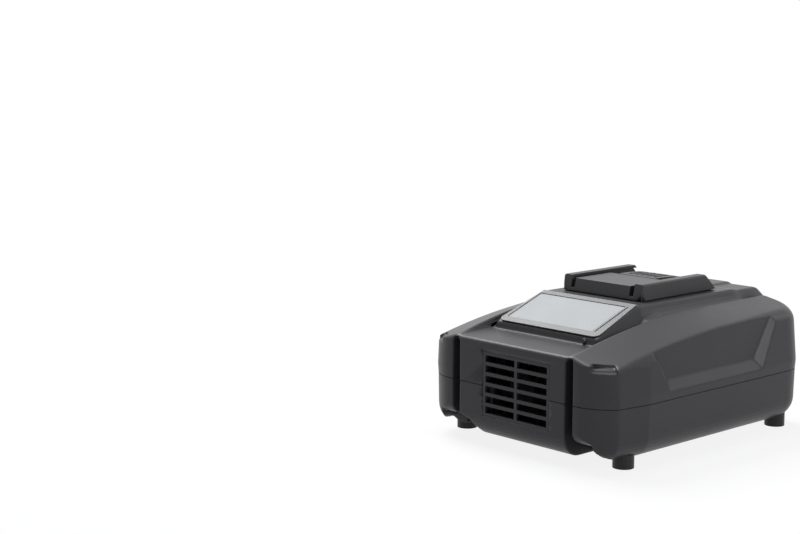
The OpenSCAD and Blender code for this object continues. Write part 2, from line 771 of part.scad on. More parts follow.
// ---- feet, screws and cord bush ----

module foot(x, y) color([0.1, 0.1, 0.11]) at_foot(x, y) {
    rod(0, 0, 0, foot_seat_z, foot_r);
    rod(0, 0, foot_seat_z - 0.5, foot_seat_z + foot_floor + 2, foot_stem_r);
    rod(0, 0, foot_seat_z + foot_floor + 0.2, foot_seat_z + foot_floor + 1.6, foot_stem_r + 0.7);
}
module foot_front_left() foot(-1, -1);
module foot_front_right() foot(1, -1);
module foot_rear_left() foot(-1, 1);
module foot_rear_right() foot(1, 1);

module screw(head_r, head_h, r, length) {
    difference() {
        cylinder(h = head_h, r = head_r);
        translate([0, 0, -over]) cylinder(h = over + head_h / 2, r = head_r / 2, $fn = 6);
    }
    translate([0, 0, head_h - 0.1]) cylinder(h = length + 0.1, r = r);
}
module case_screws() color([0.7, 0.7, 0.72]) at_case_screws()
    translate([0, 0, case_head_z - case_head_h])
        screw(case_head_r, case_head_h, case_screw_r, case_screw_top - case_head_z);

module board_screws() color([0.75, 0.75, 0.77]) at_board_screws()
    translate([0, 0, board_top + 1.8]) mirror([0, 0, 1]) screw(2.6, 1.8, board_screw_r, board_t + 4);

module cord_gland() color([0.08, 0.08, 0.09]) difference() {
    union() {
        rod_y(gland_x, parting_z, back_reach - 0.7, back_reach + 1.3, gland_flange_r);
        rod_y(gland_x, parting_z, back_reach - wall - 4, back_reach, gland_neck_r);
        rod_y(gland_x, parting_z, back_reach - wall - 4, back_reach - wall - 1.6, gland_flange_r);
    }
    rod_y(gland_x, parting_z, back_reach - 12, back_reach + 3, gland_bore_r);
}

// ---- circuit board and what stands on it ----

module circuit_board() color([0.08, 0.3, 0.16]) difference() {
    box(-board_half_w, board_half_w, board_front, board_back, board_z, board_top);
    at_board_screws() rod(0, 0, board_z - over, board_top + over, board_screw_r + 0.3);
}

module fuse() color([0.8, 0.8, 0.75]) {
    rod_y(-40, board_top + 4, 37, 57, 2.5);
    for (y = [38, 53]) box(-41, -39, y, y + 3, board_top, board_top + 3);
}

module filter_choke() color([0.7, 0.35, 0.12]) translate([choke_x, choke_y, board_top]) {
    box(-11.5, 11.5, -11.5, 11.5, 0, 1.6);
    translate([0, 0, 1.5]) rotate_extrude() translate([5, 0]) square([5.5, 11]);
}

module film_capacitor() color([0.85, 0.65, 0.15]) box(-46, -38, 14, 32, board_top, board_top + 15);

module bulk_capacitor() color([0.12, 0.15, 0.3]) translate([-19, 26, board_top]) {
    cylinder(h = 32, r = 9);
    cylinder(h = 1.5, r = 9.4);
}

module transformer_core() color([0.22, 0.22, 0.23]) translate([transformer_x, transformer_y, board_top + 2]) {
    difference() {
        box(-18, 18, -6, 6, 0, 32);
        box(-13, 13, -7, 7, 5, 27);
    }
    rod(0, 0, 4, 28, 5.2);
}
module transformer_winding() color([0.8, 0.45, 0.15])
translate([transformer_x, transformer_y, board_top + 2]) difference() {
    union() {
        rod(0, 0, 5.2, 26.8, 6.6);
        rod(0, 0, 5.2, 6.4, 12.6);
        rod(0, 0, 25.6, 26.8, 12.6);
        rod(0, 0, 7, 25, 11.6);
        for (s = [-1, 1]) box(-10, 10, s * 9.5 - 1.5, s * 9.5 + 1.5, -2, 6.3);
    }
    rod(0, 0, 4, 28, 5.5);
}

module heat_sink(x, y0, y1, side) translate([x, 0, board_top]) {
    box(-1.5, 1.5, y0, y1, 0, 32);
    for (i = [0 : 5]) let (y = y0 + (y1 - y0 - 2) * i / 5)
        box(min(0, side * 9), max(0, side * 9), y, y + 2, 0, 32);
}
module primary_heat_sink() color([0.75, 0.76, 0.78]) heat_sink(-34, -44, 6, -1);
module output_heat_sink() color([0.75, 0.76, 0.78]) heat_sink(34, -20, 34, 1);

// Two on each heat sink, with their backs to its plate.
module power_transistors() color([0.1, 0.1, 0.1])
    for (p = [[-32.5, -30], [-32.5, -8], [27.9, 6], [27.9, 22]])
        box(p.x, p.x + 4.6, p.y, p.y + 10, board_top + 6, board_top + 22);

module output_capacitors() color([0.15, 0.2, 0.35]) for (x = [8, 21, 34])
    rod(x, -44, board_top, board_top + 22, 5);

// ---- fan ----

module fan_frame() color([0.13, 0.13, 0.14]) translate([grille_x, 0, grille_z]) {
    half = fan_size / 2;
    difference() {
        box(-half, half, fan_front_y, fan_back_y, -half, half);
        rod_y(0, 0, fan_front_y - over, fan_back_y + over, fan_bore_r);
        for (x = [-1, 1], z = [-1, 1])
            rod_y(x * (half - 4), z * (half - 4), fan_front_y - over, fan_back_y + over, 1.7);
    }
    difference() {
        union() {
            rod_y(0, 0, fan_back_y - 2, fan_back_y, fan_hub_r + 0.5);
            rod_y(0, 0, fan_back_y - 7, fan_back_y, 3.2);
            for (i = [0 : 3]) rotate([0, 90 * i + 20, 0])
                box(0, fan_bore_r + 0.5, fan_back_y - 2, fan_back_y, -1.2, 1.2);
        }
        rod_y(0, 0, fan_front_y, fan_back_y + over, fan_shaft_r + bearing_gap);
        rod_y(0, 0, fan_back_y - 1.2, fan_back_y + over, fan_shaft_r + 1.2);
    }
}

module fan_rotor() color([0.1, 0.1, 0.11]) translate([grille_x, 0, grille_z]) {
    rotor_front = fan_front_y + 1;
    rotor_back = fan_back_y - 2.8;
    difference() {
        rod_y(0, 0, rotor_front, rotor_back, fan_hub_r);
        rod_y(0, 0, rotor_front + 1.6, rotor_back + over, fan_hub_r - 1.6);
    }
    rod_y(0, 0, rotor_front + 1, fan_back_y - 0.2, fan_shaft_r);
    rod_y(0, 0, fan_back_y - 1, fan_back_y - 0.2, fan_shaft_r + 0.8);
    rod_y(0, 0, rotor_front + 1, rotor_front + 4, fan_shaft_r + 1.6);
    intersection() {
        rod_y(0, 0, rotor_front, rotor_back, fan_tip_r);
        for (i = [0 : fan_blades - 1]) rotate([0, 360 * i / fan_blades, 0])
            translate([(fan_hub_r + fan_tip_r) / 2 - 0.4, (rotor_front + rotor_back) / 2, 0]) rotate([38, 0, 0])
                cube([fan_tip_r - fan_hub_r + 1.5, 13, 1.1], center = true);
    }
}

lower_shell();
upper_shell();
intake_grille();
label_frame();
label_plate();
light_guide();
battery_dock();
contact_block();
contact_blades();
contact_board();
dock_screws();
foot_front_left();
foot_front_right();
foot_rear_left();
foot_rear_right();
case_screws();
cord_gland();
circuit_board();
board_screws();
fuse();
filter_choke();
film_capacitor();
bulk_capacitor();
transformer_core();
transformer_winding();
primary_heat_sink();
output_heat_sink();
power_transistors();
output_capacitors();
fan_frame();
fan_rotor();
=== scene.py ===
import math

import bmesh
import bpy
from mathutils import Matrix, Vector


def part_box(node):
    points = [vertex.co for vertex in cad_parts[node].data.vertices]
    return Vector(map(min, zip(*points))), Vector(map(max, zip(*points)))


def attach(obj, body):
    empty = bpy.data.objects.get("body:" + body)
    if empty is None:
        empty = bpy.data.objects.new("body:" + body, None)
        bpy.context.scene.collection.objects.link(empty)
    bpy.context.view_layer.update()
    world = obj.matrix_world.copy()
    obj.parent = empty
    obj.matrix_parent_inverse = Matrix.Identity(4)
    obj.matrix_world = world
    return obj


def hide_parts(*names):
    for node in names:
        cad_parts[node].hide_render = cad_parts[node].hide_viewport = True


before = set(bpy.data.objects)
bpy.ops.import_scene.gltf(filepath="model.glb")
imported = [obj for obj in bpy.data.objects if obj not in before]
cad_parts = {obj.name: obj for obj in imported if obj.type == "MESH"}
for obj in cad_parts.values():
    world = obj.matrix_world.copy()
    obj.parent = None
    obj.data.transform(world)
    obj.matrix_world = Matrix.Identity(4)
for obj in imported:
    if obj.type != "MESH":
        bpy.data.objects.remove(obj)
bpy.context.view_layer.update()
scene = bpy.context.scene
scene.view_settings.view_transform = "Standard"

# ---- camera ----
# It looks down a little on the front right corner, from about a metre away.
camera = bpy.data.objects.new("camera", bpy.data.cameras.new("camera"))
camera.location = (0.5984, -0.7157, 0.2347)
camera.rotation_euler = (math.radians(81.57), 0, math.radians(47.94))
camera.data.lens = 70.473
camera.data.sensor_width = 36
scene.collection.objects.link(camera)
scene.camera = camera


# ---- floor and background ----
# A pale sheet with a white surround. The camera and reflections see plain white, and the sheet
# keeps the soft shadow of the charger.
class Sock:
    """A socket of a node tree: arithmetic on it adds Math nodes, and node() adds any other node."""

    def __init__(self, tree, out=None):
        self.tree = tree
        self.out = out

    def node(self, kind, settings=(), inputs=(), output=0):
        """Adds a node, its settings first and then its inputs, and gives one of its outputs."""
        made = self.tree.nodes.new("ShaderNode" + kind)
        for key, value in dict(settings).items():
            setattr(made, key, value)
        for key, value in dict(inputs).items():
            if isinstance(value, Sock):
                self.tree.links.new(value.out, made.inputs[key])
            else:
                made.inputs[key].default_value = value
        return Sock(self.tree, made.outputs[output] if made.outputs else None)

    def maths(self, operation, first, second):
        return self.node("Math", {"operation": operation}, {0: first, 1: second})

    def __add__(self, other):
        return self.maths("ADD", self, other)

    def __sub__(self, other):
        return self.maths("SUBTRACT", self, other)

    def __rsub__(self, other):
        return self.maths("SUBTRACT", other, self)

    def __mul__(self, other):
        return self.maths("MULTIPLY", self, other)

    def max(self, other):
        return self.maths("MAXIMUM", self, other)

    __radd__ = __add__
    __rmul__ = __mul__


def fresh(owner):
    """The emptied node tree of a material or world."""
    owner.use_nodes = True
    owner.node_tree.nodes.clear()
    return Sock(owner.node_tree)


def seen_only(tree):
    """1 for what the camera sees, directly, in a reflection or through something clear."""
    kinds = ("Is Camera Ray", "Is Glossy Ray", "Is Transmission Ray")
    direct, reflected, through = [tree.node("LightPath", output=kind) for kind in kinds]
    return direct.max(reflected).max(through)


world = bpy.data.worlds.new("studio")
scene.world = world
tree = fresh(world)
seen = seen_only(tree)
room = tree.node("Background", inputs={"Color": (0.9, 0.93, 1, 1), "Strength": 0.06})
white = tree.node("Background", inputs={"Color": (1, 1, 1, 1), "Strength": 1})
both = tree.node("MixShader", inputs={0: seen, 1: room, 2: white})
tree.node("OutputWorld", inputs={"Surface": both})

bpy.ops.mesh.primitive_plane_add(size=60)
floor = bpy.context.object
floor.name = "floor"
paper = bpy.data.materials.new("paper")
tree = fresh(paper)
matt = tree.node("BsdfDiffuse", inputs={"Color": (0.82, 0.83, 0.85, 1)})
glow = tree.node("Emission", inputs={"Color": (1, 1, 1, 1), "Strength": 1})
spot = tree.node("TexCoord", output="Object")
away = tree.node("VectorMath", {"operation": "LENGTH"}, {0: spot}, output="Value")
near = tree.node("MapRange", {"interpolation_type": "SMOOTHSTEP"},
                 {"Value": away, "From Min": 0.15, "From Max": 0.7, "To Min": 0.86, "To Max": 1.0})
both = tree.node("MixShader", inputs={0: seen_only(tree) * near, 1: matt, 2: glow})
tree.node("OutputMaterial", inputs={"Surface": both})
floor.data.materials.append(paper)


# ---- lamps ----
# A soft box high on the left, weaker ones overhead and behind on the right, and a low one on
# the right. All of them are square and look at the middle of the charger.
def soft_box(name, place, size, power):
    lamp = bpy.data.objects.new(name, bpy.data.lights.new(name, "AREA"))
    lamp.data.shape = "RECTANGLE"
    lamp.data.size = lamp.data.size_y = size
    lamp.data.energy = power
    lamp.location = place
    aim = Vector((0, 0, 0.05)) - Vector(place)
    lamp.rotation_euler = aim.to_track_quat("-Z", "Y").to_euler()
    scene.collection.objects.link(lamp)


soft_box("left", (-0.7, 0.1, 1.1), 0.7, 20)
soft_box("overhead", (0, 0.1, 1.2), 0.4, 4)
soft_box("right", (1.01, 0.03, 0.4), 0.2, 3.6)
soft_box("behind", (0.45, 0.9, 0.6), 0.4, 1)

# ---- housing ----
# Two moulded halves of matte dark grey plastic that meet at a level parting line and are
# screwed together from below. Both are cut from one blank: a plan with round corners under a
# roof of hood, shoulders, ramp and deck. Sizes are in millimetres.
MM = 0.001
low_box, high_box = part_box("lower_shell"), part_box("upper_shell")
half_w = low_box[1].x / MM
front = low_box[0].y / MM
back = low_box[1].y / MM
base = low_box[0].z / MM
deck_z = high_box[1].z / MM
parting, seam = 36, 0.4
# the nose between the channels, the channels, and the posts outside them with the space below
nose_half = 41
channel_x, channel_depth = 46.5, 21
post_x, post_z, pass_depth = 58.5, 14.5, 23
# heights of the hood's front edge and of the shoulders' crest, and the way up between them
hood_z, hood_rise, crest_z = 62.3, 0.05, 77
shoulder_run, shoulder_curve = 110, 1.9
# ramp, deck and the low strips on it
ramp_front, ramp_rear = -63.6, -25.4
ramp_z, ramp_half, ramp_narrows = 67.9, 38.7, 2.0
ramp_lip, ramp_lip_y = 2.2, -62
strip_x, strip_y, strip_drop = 16, 62, 1.1
deck_rear, deck_lip = back - 2, 5
# rims, and the roundings of the corners, the underside and the nose's upper edge
rim_x, rim_y = half_w - 0.7, back - 1.7
front_r, rear_r, under_r, nose_lip = 13.57, 20.5, 13, 2.4
recess_depth = 3.8
skin_wall, rib_reach = 1.3, 0.9
# clear of the housing on every side
above, below, beside = 100, -5, 90


def lump(bm):
    """A bmesh in millimetres as an object for the next step."""
    bmesh.ops.recalc_face_normals(bm, faces=bm.faces[:])
    mesh = bpy.data.meshes.new("lump")
    bm.to_mesh(mesh)
    bm.free()
    made = bpy.data.objects.new("lump", mesh)
    scene.collection.objects.link(made)
    return made


def applied(piece):
    """The piece with its modifiers worked into its mesh."""
    bpy.context.view_layer.update()
    shown = piece.evaluated_get(bpy.context.evaluated_depsgraph_get())
    mesh = bpy.data.meshes.new_from_object(shown)
    piece.modifiers.clear()
    piece.data = mesh
    return piece


def join(piece, *others, operation="UNION"):
    """Cuts the others off a piece, adds them or keeps what they share, and drops them."""
    for other in others:
        step = piece.modifiers.new("step", "BOOLEAN")
        step.operation = operation
        step.solver = "MANIFOLD"
        step.object = other
        applied(piece)
        bpy.data.objects.remove(other)
    return piece


def block(x0, x1, y0, y1, z0, z1, edge=0):
    """A box, with its edges along Y rounded."""
    bm = bmesh.new()
    middle = Matrix.Translation(((x0 + x1) / 2, (y0 + y1) / 2, (z0 + z1) / 2))
    size = Matrix.Diagonal((x1 - x0, y1 - y0, z1 - z0, 1))
    bmesh.ops.create_cube(bm, size=1, matrix=middle @ size)
    if edge:
        picked = [e for e in bm.edges if abs(e.verts[0].co.y - e.verts[1].co.y) > 0.01]
        bmesh.ops.bevel(bm, geom=picked, offset=edge, segments=5, profile=0.5,
                        affect="EDGES", material=-1)
    return lump(bm)


def cylinder(r, length, place):
    bm = bmesh.new()
    bmesh.ops.create_cone(bm, cap_ends=True, segments=48, radius1=r, radius2=r, depth=length,
                          matrix=place)
    return lump(bm)


def rod(x, y, z0, z1, r):
    """An upright cylinder."""
    return cylinder(r, z1 - z0, Matrix.Translation((x, y, (z0 + z1) / 2)))


def bore(x, z, y0, y1, r):
    """A cylinder that lies along Y."""
    middle = Matrix.Translation((x, (y0 + y1) / 2, z))
    return cylinder(r, y1 - y0, middle @ Matrix.Rotation(math.pi / 2, 4, "X"))


def drawn(ring, way):
    """A flat outline drawn out the given way into a solid."""
    bm = bmesh.new()
    face = bm.faces.new([bm.verts.new(point) for point in ring])
    grown = bmesh.ops.extrude_face_region(bm, geom=[face])["geom"]
    bmesh.ops.translate(bm, vec=way, verts=[v for v in grown if isinstance(v, bmesh.types.BMVert)])
    return lump(bm)


def mirrored(make, *sizes, **named):
    """What make builds on the right, and its mirror image on the left, as two lumps."""
    right, left = make(*sizes, **named), make(*sizes, **named)
    bm = bmesh.new()
    bm.from_mesh(left.data)
    bmesh.ops.scale(bm, vec=(-1, 1, 1), verts=bm.verts)
    bmesh.ops.recalc_face_normals(bm, faces=bm.faces[:])
    bm.to_mesh(left.data)
    bm.free()
    return [right, left]


def ease(t):
    """0 to 1 with a soft start and end."""
    t = min(max(t, 0), 1)
    return t * t * (3 - 2 * t)


def bulge(t):
    """The drop of a quarter circle of radius 1, at t from its top."""
    t = min(max(t, 0), 1)
    return 1 - math.sqrt(1 - t * t)


def blend_up(a, b, k):
    """The higher of two heights, with a hollow fillet of about k where they meet."""
    t = max(k - abs(a - b), 0) / k
    return max(a, b) + t * t * k / 4


def blend_down(a, b, k):
    """The lower of two heights, with a fillet of about k."""
    return -blend_up(-a, -b, k)


def roof(x, y):
    """Height of the roof over a point of the plan."""
    x = abs(x)
    # hood between the channels, and the shoulders that rise beside it
    hood = hood_z + hood_rise * (y - front)
    run = min(max((y - front) / shoulder_run, 0), 1)
    crest = hood_z + (crest_z - hood_z) * (1 - (1 - run) ** shoulder_curve)
    lean = 0.3 - 0.1 * ease((y + 25) / 100)
    shoulder = crest - lean * max(0, x - nose_half - 3.5)
    side = ease((x - nose_half + 0.5) / 4)
    low = hood * (1 - side) + shoulder * side
    # ramp and deck, with a low strip along each side at the rear
    up = (y - ramp_front) / (ramp_rear - ramp_front)
    top = min(ramp_z + up * (deck_z - ramp_z), deck_z)
    top -= strip_drop * ease((x - strip_x) / 3) * ease((y - strip_y) / 8)
    # their flanks, which end in a flatter flare
    half = ramp_half - ramp_narrows * min(max(up, 0), 1)
    flank = (x - half) * (2.2 - 1.4 * ease((y - 52) / 30))
    flare = (x - half) * 0.45 + 3.6 + 8 * ease(1.3 - up)
    drop = blend_up(0, blend_down(flank, flare, 1.0), 0.9)
    # their front and rear edges
    deck = top - drop - ramp_lip * bulge((ramp_lip_y - y) / ramp_lip)
    deck -= max(0, ramp_lip_y - ramp_lip - y) * 5
    deck -= deck_lip * bulge((y - deck_rear + deck_lip) / deck_lip) + max(0, y - deck_rear) * 20
    # rounded rims of hood and shoulders
    away = math.hypot(max(0, x - rim_x + rear_r), max(0, y - rim_y + rear_r))
    inset = min(rim_x - x, rear_r - away)
    rim_r = 5 + 2.5 * ease((y - 25) / 50)
    low -= rim_r * bulge(1 - inset / rim_r) + nose_lip * bulge(1 - (y - front) / nose_lip)
    return blend_up(low, deck, 1.6)


def outline_block():
    """The plan of the housing, drawn up with its drafts, and with the round underside."""
    bm = bmesh.new()
    # front corner, start and end of the flare behind it, rear corner
    corners = [(63.07, front), (69.85, -80.5), (half_w, -58.75), (half_w, back)]
    plan = corners + [(-x, y) for x, y in reversed(corners)]
    ring = [bm.verts.new((x, y, base)) for x, y in plan]
    bm.faces.new(ring)
    for picked, offset in (((ring[0], ring[-1]), front_r), ((ring[3], ring[4]), rear_r)):
        bmesh.ops.bevel(bm, geom=list(picked), offset=offset, segments=12, profile=0.5,
                        affect="VERTICES", material=-1)
    under = face = bm.faces[:][0]
    foot_in = 0.8
    bmesh.ops.scale(bm, vec=((half_w - foot_in) / half_w, 1, 1), verts=bm.verts)
    # height, and how far the sides and the rear lie in from the full size there
    levels = ((parting, 0, 0), (parting + 5.5, -0.6, 0.2), (deck_z + 1, 2, 2.8))
    last_side, last_rear = foot_in, foot_in
    for height, side, rear in levels:
        grown = bmesh.ops.extrude_face_region(bm, geom=[face])["geom"]
        if face is not under:
            bmesh.ops.delete(bm, geom=[face], context="FACES_ONLY")
        face = [f for f in grown if isinstance(f, bmesh.types.BMFace)][0]
        for v in face.verts:
            v.co.x *= (half_w - side) / (half_w - last_side)
            if v.co.y > 0 and height != parting:
                v.co.y *= (back - rear) / (back - last_rear)
            v.co.z = height
        last_side, last_rear = side, rear
    edges = [e for e in bm.edges if all(abs(v.co.z - base) < 0.01 for v in e.verts)]
    bmesh.ops.bevel(bm, geom=edges, offset=under_r, segments=8, profile=0.5,
                    affect="EDGES", material=-1)
    return lump(bm)


def roof_block():
    """All that lies under the roof."""
    bm = bmesh.new()
    bmesh.ops.create_grid(bm, x_segments=250, y_segments=320, size=1)
    for v in bm.verts:
        x, y = v.co.x * (half_w + 2), v.co.y * (back + 2)
        v.co = (x, y, roof(x, min(max(y, front), back)))
    edge = [e for e in bm.edges if e.is_boundary]
    wall = bmesh.ops.extrude_edge_only(bm, edges=edge)["geom"]
    for v in wall:
        if isinstance(v, bmesh.types.BMVert):
            v.co.z = 0
    bmesh.ops.holes_fill(bm, edges=[e for e in bm.edges if e.is_boundary], sides=0)
    return lump(bm)


def ledge(grow):
    """The cut round the outer front corner, with a groove under its lip."""
    bm = bmesh.new()
    turn = (49.5, -68.75, 0)
    # floor, outside and wall with its groove, as the distance from the turning axis and the height
    ring = [(18, 58), (20.4, 57.4), (22.4, 55.4), (27, 55.4), (27, 70)]
    ring += [(19.2, 70), (19.2, 59.6), (18, 59.6)]
    bm.faces.new([bm.verts.new((turn[0] + r - grow * (r < 20), turn[1], z - grow * (z < 59)))
                  for r, z in ring])
    start, sweep = math.radians(-70 - grow * 2), math.radians(36.4 + grow * 4)
    bmesh.ops.rotate(bm, cent=turn, matrix=Matrix.Rotation(start, 3, "Z"), verts=bm.verts)
    bmesh.ops.spin(bm, geom=bm.faces[:], cent=turn, axis=(0, 0, 1), angle=sweep, steps=14)
    return lump(bm)


def side_recess(grow):
    """The cut of a side panel, with its sloping walls."""
    floor_x = half_w - recess_depth - grow
    # corners of the floor and of the rim, as y and height; the upper ones lie above the roof
    floor_at = [(-52.8 - grow, 46.8 - grow), (40.1 + grow, 47.2 - grow), (66.5 + grow, 88),
                (-52.8 - grow, 88)]
    rim_at = [(-40.8 - grow, 41.2 - grow), (43.7 + grow, 41.5 - grow), (70.5 + grow, 88),
              (-52.8 - grow, 88)]
    bm = bmesh.new()
    for (y0, z0), (y1, z1) in zip(floor_at, rim_at):
        bm.verts.new((floor_x, y0, z0))
        bm.verts.new((floor_x + 8, y0 + 2 * (y1 - y0), z0 + 2 * (z1 - z0)))
    bmesh.ops.convex_hull(bm, input=bm.verts[:])
    return lump(bm)


def underpass(grow):
    """The recess beside a channel's foot, from the round foot of the post to its outer lobe."""
    x = post_x + grow
    lobe_r, round_r, spandrel_r = 5.5, 7, 3
    turns = [math.radians(a) for a in range(0, 91, 10)]
    lobe = [(x + lobe_r * (1 - math.cos(a)), 13.5 - lobe_r * math.sin(a)) for a in turns]
    ring = [(nose_half - grow, below), (nose_half - grow, 40), (x, 40)]
    ring += lobe + [(x + lobe_r, below)]
    cut = drawn([(x, front - 5, z) for x, z in ring], (0, pass_depth + grow, 0))
    spandrel = join(block(x - 1, x + spandrel_r, front - 2, front + spandrel_r, below, 40),
                    rod(x + spandrel_r, front + spandrel_r, -9, 44, spandrel_r),
                    operation="DIFFERENCE")
    join(cut, spandrel)
    top = post_z + round_r + grow
    under = [(front - 6, top)]
    under += [(front + round_r - round_r * math.cos(a), top - round_r * math.sin(a)) for a in turns]
    under += [(front + 20, post_z + grow), (front + 20, -6), (front - 6, -6)]
    return join(cut, drawn([(20, y, z) for y, z in under], (60, 0, 0)), operation="INTERSECT")


grille_x, grille_z = 4, 37.2
grille_half_w, grille_half_h = 25.65, 18.85


def grille_gap(grow=0):
    """The opening that the grille sits in."""
    w, h = grille_half_w + grow, grille_half_h + grow
    return block(grille_x - w, grille_x + w, front - 5, front + 6, grille_z - h, grille_z + h)


def blank(grow):
    """The housing without its hollow, or with its cuts grown, for the middle of its walls."""
    made = join(outline_block(), roof_block(), operation="INTERSECT")
    if grow:
        shrink = (1 - grow / half_w, 1 - grow / back, 1 - 2 * grow / (deck_z - base))
        bm = bmesh.new()
        bm.from_mesh(made.data)
        bmesh.ops.scale(bm, vec=shrink, space=Matrix.Translation((0, 0, -(deck_z + base) / 2)),
                        verts=bm.verts)
        bm.to_mesh(made.data)
        bm.free()
    inner, over_post = nose_half - grow, post_z + grow
    # the channels beside the nose, and the open space under the posts
    cuts = mirrored(block, inner, channel_x + grow, front - 5, front + channel_depth + grow,
                    below, hood_z - 1 + grow, edge=2.2)
    cuts += mirrored(underpass, grow)
    cuts += mirrored(block, inner, 52, front + 10, front + 28 + grow, -6, over_post)
    # the nose's lower left corner
    corner_x = -nose_half - 1
    corner = [(corner_x, 17 + grow), (-33 + grow, 14 + grow), (-28 + grow, 8),
              (-27 + grow, below), (corner_x, below)]
    cuts.append(drawn([(x, front - 5, z) for x, z in corner], (0, pass_depth + grow, 0)))
    cuts += mirrored(ledge, grow)
    cuts += mirrored(side_recess, grow)
    if grow:
        cuts.append(grille_gap(grow))
    return join(made, *cuts, operation="DIFFERENCE")


outer = blank(0)
step = outer.modifiers.new("even", "REMESH")
step.mode = "VOXEL"
step.voxel_size = 0.55
step = outer.modifiers.new("round", "SMOOTH")
step.factor = 0.5
step.iterations = 3
step = outer.modifiers.new("thin", "DECIMATE")
step.ratio = 0.33
applied(outer)


def copied(node):
    """A CAD node's mesh in millimetres, with its triangles joined up."""
    bm = bmesh.new()
    bm.from_mesh(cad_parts[node].data)
    bmesh.ops.scale(bm, vec=(1 / MM,) * 3, verts=bm.verts)
    bmesh.ops.remove_doubles(bm, verts=bm.verts, dist=0.002)
    return bm


def place(piece, name, material, slot, node):
    """Names a finished piece, brings it to metres and hands it to the housing's body."""
    piece.name = name
    piece.data.name = name
    piece.data.transform(Matrix.Scale(MM, 4))
    piece.data.shade_smooth()
    piece.data.set_sharp_from_angle(angle=math.radians(35))
    step = piece.modifiers.new("calm flats", "WEIGHTED_NORMAL")
    step.keep_sharp = True
    piece.data.materials.clear()
    piece.data.materials.append(material)
    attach(piece, "housing")
    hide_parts(node)


def between(tree, amount, first, second):
    """A colour between two colours."""
    ends = {6: tuple(first) + (1,), 7: tuple(second) + (1,)}
    return tree.node("Mix", {"data_type": "RGBA"}, {0: amount, **ends}, output=2)


def moulded(name, colour, roughness, grain=0.0003, depth=0.00002, mottle=0.05, shine=0.5):
    """Moulded plastic: a fine spark-eroded grain, with faint clouds in its colour and sheen."""
    material = bpy.data.materials.new(name)
    tree = fresh(material)
    spot = tree.node("TexCoord", output="Object")
    fine = tree.node("TexNoise", inputs={
        "Vector": spot, "Scale": 1 / grain, "Detail": 2.0, "Roughness": 0.6})
    cloud = tree.node("TexNoise", inputs={
        "Vector": spot, "Scale": 45.0, "Detail": 3.0, "Roughness": 0.55})
    amount = (cloud - 0.5) * (2 * mottle) + 0.5 + (fine - 0.5) * 0.5
    dark, pale = [[c * (1 + part * mottle) for c in colour] for part in (-3, 3)]
    bump = tree.node("Bump", inputs={"Height": fine, "Distance": depth, "Strength": 0.7})
    skin = tree.node("BsdfPrincipled", inputs={
        "Base Color": between(tree, amount, dark, pale),
        "Roughness": (cloud - 0.5) * 0.12 + roughness,
        "Specular IOR Level": shine, "Normal": bump})
    tree.node("OutputMaterial", inputs={"Surface": skin})
    return material


def shell(node, z0, z1):
    """Half of the housing: the skin of the blank, with the ribs and posts of the CAD part."""
    half = outer.copy()
    half.data = outer.data.copy()
    scene.collection.objects.link(half)
    join(half, block(-beside, beside, -110, 110, z0, z1), operation="INTERSECT")
    join(half, blank(skin_wall), operation="DIFFERENCE")
    ribs = join(lump(copied(node)), blank(rib_reach), operation="INTERSECT")
    return join(half, ribs)


upper = shell("upper_shell", parting + seam / 2, above)
lower = shell("lower_shell", 0, parting - seam / 2)
feet_at = [(x, y) for x in (-61, 61) for y in (-65.8, 76.2)]
screws_at = [(x, y) for x in (-60, 60) for y in (-50, 50)]
louvre_at = [2 + 5.5 * i for i in range(9)]
foot_hole_r, screw_hole_r, louvre_w = 6.15, 3.7, 2.6
holes = [rod(x, y, 0, 8, foot_hole_r) for x, y in feet_at]
holes += [rod(x, y, 0, 20, screw_hole_r) for x, y in screws_at]
holes += [block(x, x + louvre_w, back - 5, back + 5, 18, 32) for x in louvre_at]
join(lower, *holes, operation="DIFFERENCE")
bush_x, bush_neck_r, bush_rim_r = -38, 5.45, 7.8
for half in (upper, lower):
    join(half, grille_gap(), bore(bush_x, parting, back - 9, back + 5, bush_neck_r),
         bore(bush_x, parting, back - 0.8, back + 5, bush_rim_r), operation="DIFFERENCE")
bpy.data.objects.remove(outer)
housing_plastic = moulded("housing_plastic", (0.037, 0.0365, 0.04), 0.38, shine=0.2)
place(upper, "upper_shell_skin", housing_plastic, "housing_plastic", "upper_shell")
place(lower, "lower_shell_skin", housing_plastic, "housing_plastic", "lower_shell")


# ---- air intake grille ----
# A moulded insert with two columns of slots, through which the fan draws its air. Its flange is
# held behind the front wall, between the two halves of the housing.
def eased(node, edge):
    """A copy of a CAD node with its outer edges rounded."""
    bm = copied(node)
    bmesh.ops.dissolve_limit(bm, angle_limit=math.radians(1), verts=bm.verts, edges=bm.edges,
                             delimit=set())
    picked = [e for e in bm.edges
              if e.is_manifold and e.is_convex and e.calc_face_angle() > math.radians(30)]
    bmesh.ops.bevel(bm, geom=picked, offset=edge, segments=2, profile=0.5, affect="EDGES",
                    material=-1, clamp_overlap=True)
    return lump(bm)


place(eased("intake_grille", 0.12), "grille", housing_plastic, "housing_plastic", "intake_grille")

# ---- label ----
# A satin silver plate without print lies in a raised plastic frame, which is set on the ramp
# below the battery.
# The frame is moulded in the housing's plastic, but it is given a lighter grey than the housing:
# painted sheen, standing in for the reflections along its rounded bead.
frame_plastic_painted_sheen = moulded("frame_plastic_painted_sheen", (0.08, 0.083, 0.086), 0.42, shine=0.4)
place(eased("label_frame", 0.4), "label_surround", frame_plastic_painted_sheen, "housing_plastic", "label_frame")
label_silver = moulded("label_silver", (0.28, 0.3, 0.31), 0.6, grain=0.0012, depth=0.000004,
                       mottle=0.06)
place(eased("label_plate", 0.1), "label_sheet", label_silver, "label_silver", "label_plate")

# ---- status light ----
# A clear moulded guide takes the light of the circuit board to a small round lens under the
# label's lower edge, where it shows the state of charge.
clear = moulded("clear_guide", (0.14, 0.15, 0.15), 0.3, mottle=0.02)
place(eased("light_guide", 0.2), "light_lens", clear, "clear_guide", "light_guide")

